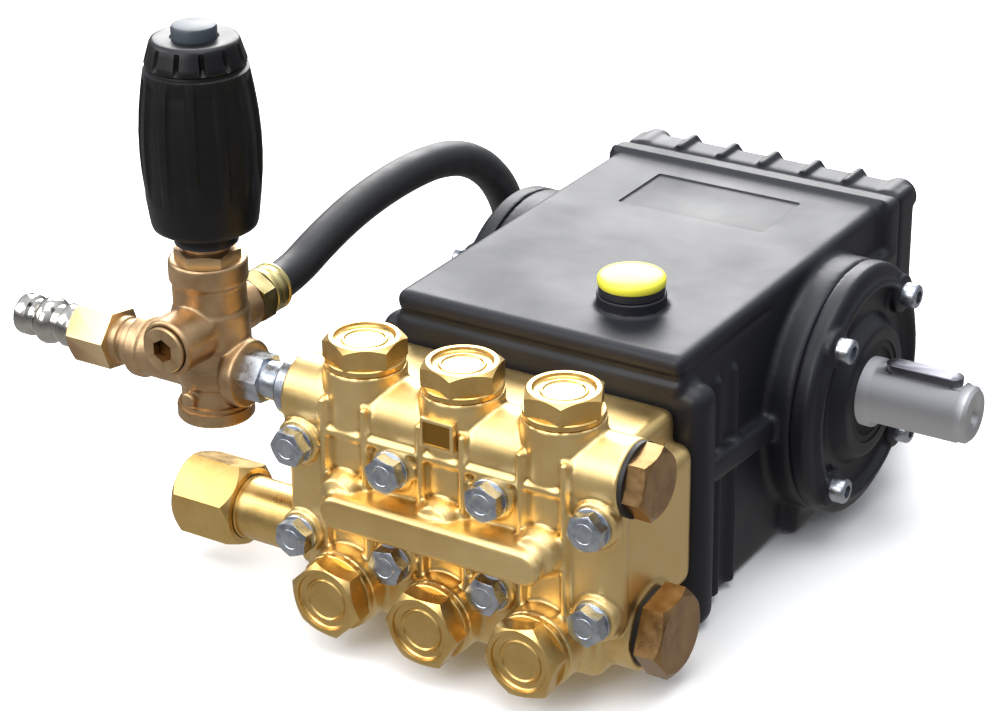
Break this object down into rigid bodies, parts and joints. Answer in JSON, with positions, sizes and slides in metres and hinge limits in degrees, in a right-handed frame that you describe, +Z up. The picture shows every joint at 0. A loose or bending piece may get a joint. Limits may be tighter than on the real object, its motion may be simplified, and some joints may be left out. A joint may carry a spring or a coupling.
{
  "type": "pressure washer pump",
  "caption": "Triplex plunger pump with a keyed crankshaft, brass valve manifold, oil-filled crankcase and an unloader valve with a bypass hose",
  "frame": {"origin": "middle of the four threaded holes in the base, on the base plane", "axes": "+X along the drive shaft towards its keyed end, +Y from the manifold towards the rear cover, +Z up"},
  "size_m": [0.3335, 0.3056, 0.2246],
  "materials": {
    "case_black": "satin black powder coat on cast aluminium",
    "gasket": "black fibre gasket edge",
    "zinc_steel": "bright zinc plated steel",
    "clear_plastic": "clear moulded sight glass",
    "yellow_plastic": "moulded yellow plastic over a black rim",
    "seal_rubber": "black nitrile rubber",
    "ground_steel": "ground steel",
    "key_steel": "drawn key steel",
    "machined_brass": "turned brass",
    "cast_brass": "forged and blasted brass",
    "stainless": "stainless steel",
    "dark_brass": "turned brass, darker and browner",
    "unloader_brass": "forged brass, bronze brown",
    "black_plastic": "moulded glass-filled nylon",
    "nickel": "nickel plated steel",
    "zinc_yellow": "yellow passivated zinc plate",
    "hose_rubber": "smooth black braided hose cover",
    "rod_aluminium": "machined aluminium",
    "ceramic_white": "ground ceramic"
  },
  "bodies": {
    "pump": {"bearing_outer_rings": "ground_steel", "blind_cover": "case_black", "bypass_fitting": "zinc_yellow", "bypass_hose": "hose_rubber", "cover_screws": "zinc_steel", "crankcase": "case_black", "discharge_end_plug": "dark_brass", "drain_plug": "zinc_steel", "drive_cover": "case_black", "end_plug_seals": "seal_rubber", "inlet_pipe": "machined_brass", "manifold": "cast_brass", "manifold_bolts": "zinc_steel", "outlet_adapter": "machined_brass", "outlet_nipple": "zinc_steel", "packing_retainers": "machined_brass", "plunger_packings": "seal_rubber", "quick_nipple": "nickel", "rear_cover": "case_black", "rear_cover_gasket": "gasket", "rod_seals": "seal_rubber", "shaft_seal": "seal_rubber", "sight_glass": "clear_plastic", "suction_end_plug": "dark_brass", "unloader_body": "unloader_brass", "unloader_nut": "unloader_brass", "unloader_plugs": "unloader_brass", "valve_plugs": "machined_brass", "valve_seats": "stainless", "valve_springs": "stainless"},
    "crank": {"crankshaft": "ground_steel", "shaft_key": "key_steel", "bearing_inner_rings": "ground_steel"},
    "ball_sets": {"bearing_balls": "ground_steel"},
    "rod_1": {"con_rod_1": "rod_aluminium", "wrist_pin_1": "ground_steel"},
    "crosshead_set_1": {"crosshead_1": "rod_aluminium", "plunger_1": "ceramic_white", "plunger_bolt_1": "stainless"},
    "outlet_poppet_1": {"outlet_valve_1": "stainless"},
    "inlet_poppet_1": {"inlet_valve_1": "stainless"},
    "rod_2": {"con_rod_2": "rod_aluminium", "wrist_pin_2": "ground_steel"},
    "crosshead_set_2": {"crosshead_2": "rod_aluminium", "plunger_2": "ceramic_white", "plunger_bolt_2": "stainless"},
    "outlet_poppet_2": {"outlet_valve_2": "stainless"},
    "inlet_poppet_2": {"inlet_valve_2": "stainless"},
    "rod_3": {"con_rod_3": "rod_aluminium", "wrist_pin_3": "ground_steel"},
    "crosshead_set_3": {"crosshead_3": "rod_aluminium", "plunger_3": "ceramic_white", "plunger_bolt_3": "stainless"},
    "outlet_poppet_3": {"outlet_valve_3": "stainless"},
    "inlet_poppet_3": {"inlet_valve_3": "stainless"},
    "filler_cap": {"oil_cap": "yellow_plastic"},
    "swivel_nut": {"inlet_nut": "machined_brass"},
    "adjuster_stem": {"unloader_stem": "stainless"},
    "adjuster_knob": {"unloader_knob": "black_plastic", "knob_button": "black_plastic"}
  },
  "joints": [
    {"name": "crank_turn", "type": "hinge", "parent": "pump", "child": "crank", "pos_m": [0, 0.026, 0.057], "axis": [1, 0, 0], "continuous": true},
    {"name": "ball_orbit", "type": "hinge", "parent": "pump", "child": "ball_sets", "pos_m": [0, 0.026, 0.057], "axis": [1, 0, 0], "continuous": true},
    {"name": "big_end_1", "type": "hinge", "parent": "crank", "child": "rod_1", "pos_m": [-0.042, 0.026, 0.0635], "axis": [1, 0, 0], "continuous": true},
    {"name": "plunger_stroke_1", "type": "slide", "parent": "pump", "child": "crosshead_set_1", "axis": [0, 1, 0], "range_m": [-0.0065, 0.0065]},
    {"name": "outlet_lift_1", "type": "slide", "parent": "pump", "child": "outlet_poppet_1", "axis": [0, 0, 1], "range_m": [0, 0.002], "stiffness_N_per_m": 150, "springref_m": -0.004},
    {"name": "inlet_lift_1", "type": "slide", "parent": "pump", "child": "inlet_poppet_1", "axis": [0, -1, 0], "range_m": [0, 0.002], "stiffness_N_per_m": 150, "springref_m": -0.004},
    {"name": "big_end_2", "type": "hinge", "parent": "crank", "child": "rod_2", "pos_m": [0, 0.02037, 0.05375], "axis": [1, 0, 0], "continuous": true},
    {"name": "plunger_stroke_2", "type": "slide", "parent": "pump", "child": "crosshead_set_2", "axis": [0, 1, 0], "range_m": [-0.00087, 0.01213]},
    {"name": "outlet_lift_2", "type": "slide", "parent": "pump", "child": "outlet_poppet_2", "axis": [0, 0, 1], "range_m": [0, 0.002], "stiffness_N_per_m": 150, "springref_m": -0.004},
    {"name": "inlet_lift_2", "type": "slide", "parent": "pump", "child": "inlet_poppet_2", "axis": [0, -1, 0], "range_m": [0, 0.002], "stiffness_N_per_m": 150, "springref_m": -0.004},
    {"name": "big_end_3", "type": "hinge", "parent": "crank", "child": "rod_3", "pos_m": [0.042, 0.03163, 0.05375], "axis": [1, 0, 0], "continuous": true},
    {"name": "plunger_stroke_3", "type": "slide", "parent": "pump", "child": "crosshead_set_3", "axis": [0, 1, 0], "range_m": [-0.01213, 0.00087]},
    {"name": "outlet_lift_3", "type": "slide", "parent": "pump", "child": "outlet_poppet_3", "axis": [0, 0, 1], "range_m": [0, 0.002], "stiffness_N_per_m": 150, "springref_m": -0.004},
    {"name": "inlet_lift_3", "type": "slide", "parent": "pump", "child": "inlet_poppet_3", "axis": [0, -1, 0], "range_m": [0, 0.002], "stiffness_N_per_m": 150, "springref_m": -0.004},
    {"name": "filler_cap_lift", "type": "slide", "parent": "pump", "child": "filler_cap", "axis": [0, 0, 1], "range_m": [0, 0.04]},
    {"name": "inlet_nut_turn", "type": "hinge", "parent": "pump", "child": "swivel_nut", "pos_m": [-0.123, -0.1255, 0.0225], "axis": [1, 0, 0], "continuous": true},
    {"name": "adjuster_travel", "type": "slide", "parent": "pump", "child": "adjuster_stem", "axis": [0, 0, 1], "range_m": [-0.0015, 0.0015]},
    {"name": "adjuster_turn", "type": "hinge", "parent": "adjuster_stem", "child": "adjuster_knob", "pos_m": [-0.112, -0.14, 0.18], "axis": [0, 0, 1], "range_deg": [-360, 360]}
  ],
  "couplings": [
    {"joint": "ball_orbit", "follows": "crank_turn", "ratio": 0.392},
    {"joint": "big_end_1", "follows": "crank_turn", "ratio": -1},
    {"joint": "big_end_2", "follows": "crank_turn", "ratio": -1},
    {"joint": "big_end_3", "follows": "crank_turn", "ratio": -1},
    {"joint": "adjuster_travel", "follows": "adjuster_turn", "m_per_rad": 0.00023873}
  ]
}
